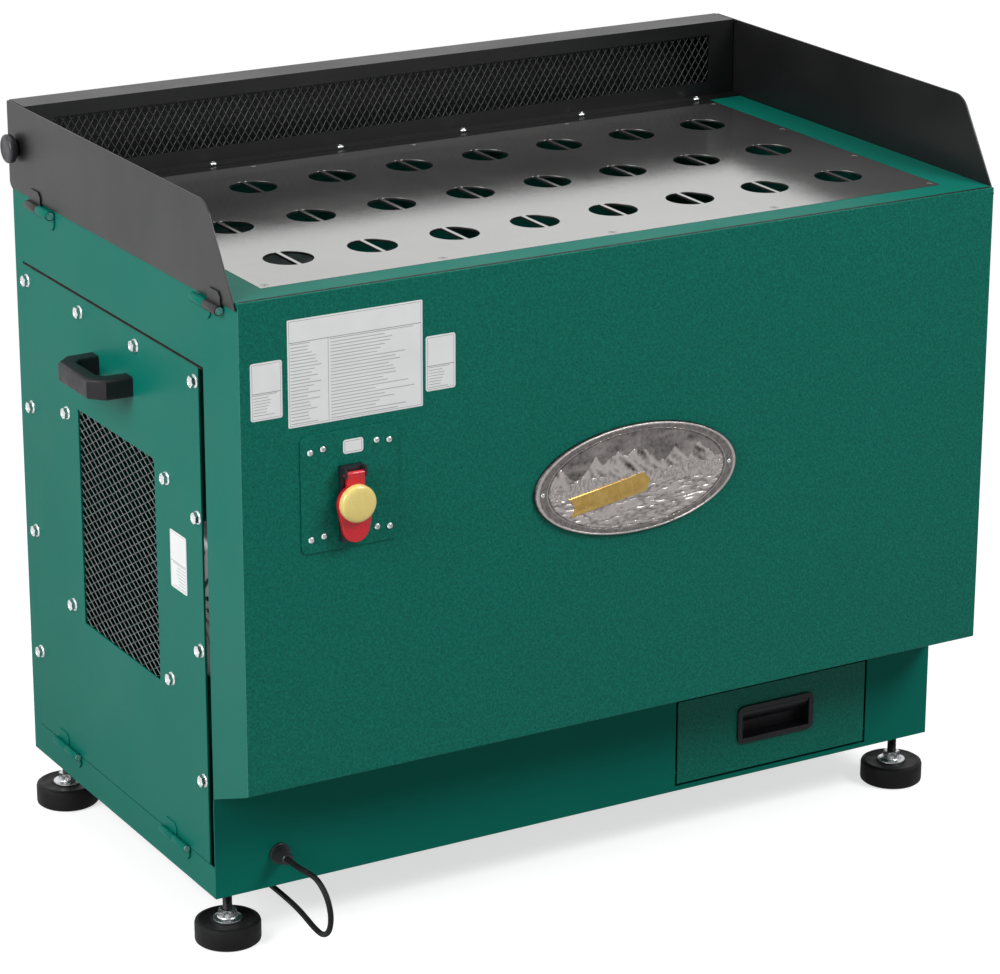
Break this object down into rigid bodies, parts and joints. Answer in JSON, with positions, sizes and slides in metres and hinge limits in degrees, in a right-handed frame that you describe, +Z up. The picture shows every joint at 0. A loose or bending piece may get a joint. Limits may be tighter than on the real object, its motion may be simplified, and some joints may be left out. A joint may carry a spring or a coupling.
{
  "type": "downdraft table",
  "caption": "Green steel downdraft table with a perforated worktop, fold-down side shields, dust drawer, side access door and paddle switch.",
  "frame": {"origin": "middle of the floor area that the table covers, at floor level", "axes": "+X across the table, to the user's right; +Y from the user to the back; +Z up"},
  "size_m": [1.1102, 0.6761, 0.937],
  "materials": {
    "green_paint": "satin",
    "hammered_green": "hammered gloss",
    "charcoal_paint": "satin",
    "worktop_grey": "satin",
    "zinc_steel": "bright zinc",
    "galvanised_sheet": "satin",
    "black_mesh": "matte",
    "black_plastic": "moulded",
    "red_plastic": "gloss",
    "yellow_plastic": "gloss",
    "green_plastic": "gloss",
    "pewter": "cast and brushed",
    "cast_housing": "as cast",
    "filter_fleece": "pleated",
    "black_rubber": "moulded"
  },
  "bodies": {
    "cabinet": {"base_front": "green_paint", "base_floor": "green_paint", "left_side": "green_paint", "right_side": "green_paint", "back_panel": "green_paint", "apron_front": "hammered_green", "top_rim": "green_paint", "worktop_plate": "worktop_grey", "worktop_screws": "zinc_steel", "filter_wall": "galvanised_sheet", "blower_wall": "galvanised_sheet", "air_deck": "galvanised_sheet", "spark_baffle": "galvanised_sheet", "dust_hopper": "galvanised_sheet", "filter_media": "filter_fleece", "filter_caps": "galvanised_sheet", "blower_housing": "galvanised_sheet", "motor_casing": "cast_housing", "motor_cowl": "cast_housing", "back_shield": "charcoal_paint", "back_mesh": "black_mesh", "cabinet_leaves": "green_paint", "hinge_pins": "zinc_steel", "pan_head_screws": "zinc_steel", "drawer_runners": "galvanised_sheet", "switch_plate": "hammered_green", "switch_housing": "black_plastic", "front_plaque": "pewter", "cord_gland": "black_plastic", "power_cord": "black_rubber", "cord_coil": "black_rubber", "plug": "black_plastic"},
    "left_shield_body": {"left_shield": "charcoal_paint", "left_shield_leaves": "charcoal_paint"},
    "right_shield_body": {"right_shield": "charcoal_paint", "right_shield_leaves": "charcoal_paint"},
    "left_knob_body": {"left_knob": "black_plastic"},
    "right_knob_body": {"right_knob": "black_plastic"},
    "door": {"access_door": "green_paint", "door_mesh": "black_mesh", "door_handle": "black_plastic", "door_screws": "zinc_steel", "door_leaves": "zinc_steel"},
    "drawer": {"drawer_tray": "galvanised_sheet", "drawer_front": "green_paint", "drawer_pull": "black_plastic"},
    "stop_flap": {"switch_flap": "red_plastic", "flap_thumb": "yellow_plastic"},
    "start": {"start_button": "green_plastic"},
    "stop": {"stop_button": "red_plastic"},
    "blower_rotor": {"impeller": "galvanised_sheet", "motor_shaft": "zinc_steel"},
    "foot_front_left": {"foot_pad_front_left": "black_rubber", "foot_stem_front_left": "zinc_steel"},
    "foot_front_right": {"foot_pad_front_right": "black_rubber", "foot_stem_front_right": "zinc_steel"},
    "foot_back_left": {"foot_pad_back_left": "black_rubber", "foot_stem_back_left": "zinc_steel"},
    "foot_back_right": {"foot_pad_back_right": "black_rubber", "foot_stem_back_right": "zinc_steel"}
  },
  "joints": [
    {"name": "left_shield_fold", "type": "hinge", "parent": "cabinet", "child": "left_shield_body", "pos_m": [-0.50875, -0.2135, 0.819], "axis": [0, -1, 0], "range_deg": [0, 160]},
    {"name": "right_shield_fold", "type": "hinge", "parent": "cabinet", "child": "right_shield_body", "pos_m": [0.54425, -0.2135, 0.819], "axis": [0, 1, 0], "range_deg": [0, 160]},
    {"name": "left_knob_draw", "type": "slide", "parent": "left_shield_body", "child": "left_knob_body", "axis": [-1, 0, 0], "range_m": [0, 0.0085]},
    {"name": "right_knob_draw", "type": "slide", "parent": "right_shield_body", "child": "right_knob_body", "axis": [1, 0, 0], "range_m": [0, 0.0085]},
    {"name": "door_hinge", "type": "hinge", "parent": "cabinet", "child": "door", "pos_m": [-0.50785, -0.2135, 0.113], "axis": [0, -1, 0], "range_deg": [0, 90]},
    {"name": "drawer_slide", "type": "slide", "parent": "cabinet", "child": "drawer", "axis": [0, -1, 0], "range_m": [0, 0.36]},
    {"name": "stop_flap_hinge", "type": "hinge", "parent": "cabinet", "child": "stop_flap", "pos_m": [-0.36575, -0.322, 0.618], "axis": [-1, 0, 0], "range_deg": [0, 105]},
    {"name": "start_press", "type": "slide", "parent": "cabinet", "child": "start", "axis": [0, 1, 0], "range_m": [0, 0.004], "stiffness_N_per_m": 300},
    {"name": "stop_press", "type": "slide", "parent": "cabinet", "child": "stop", "axis": [0, 1, 0], "range_m": [0, 0.004], "stiffness_N_per_m": 300},
    {"name": "blower_spin", "type": "hinge", "parent": "cabinet", "child": "blower_rotor", "pos_m": [-0.28225, 0.0515, 0.345], "axis": [1, 0, 0], "continuous": true},
    {"name": "foot_screw_front_left", "type": "slide", "parent": "cabinet", "child": "foot_front_left", "axis": [0, 0, 1], "range_m": [-0.015, 0.015]},
    {"name": "foot_screw_front_right", "type": "slide", "parent": "cabinet", "child": "foot_front_right", "axis": [0, 0, 1], "range_m": [-0.015, 0.015]},
    {"name": "foot_screw_back_left", "type": "slide", "parent": "cabinet", "child": "foot_back_left", "axis": [0, 0, 1], "range_m": [-0.015, 0.015]},
    {"name": "foot_screw_back_right", "type": "slide", "parent": "cabinet", "child": "foot_back_right", "axis": [0, 0, 1], "range_m": [-0.015, 0.015]}
  ]
}
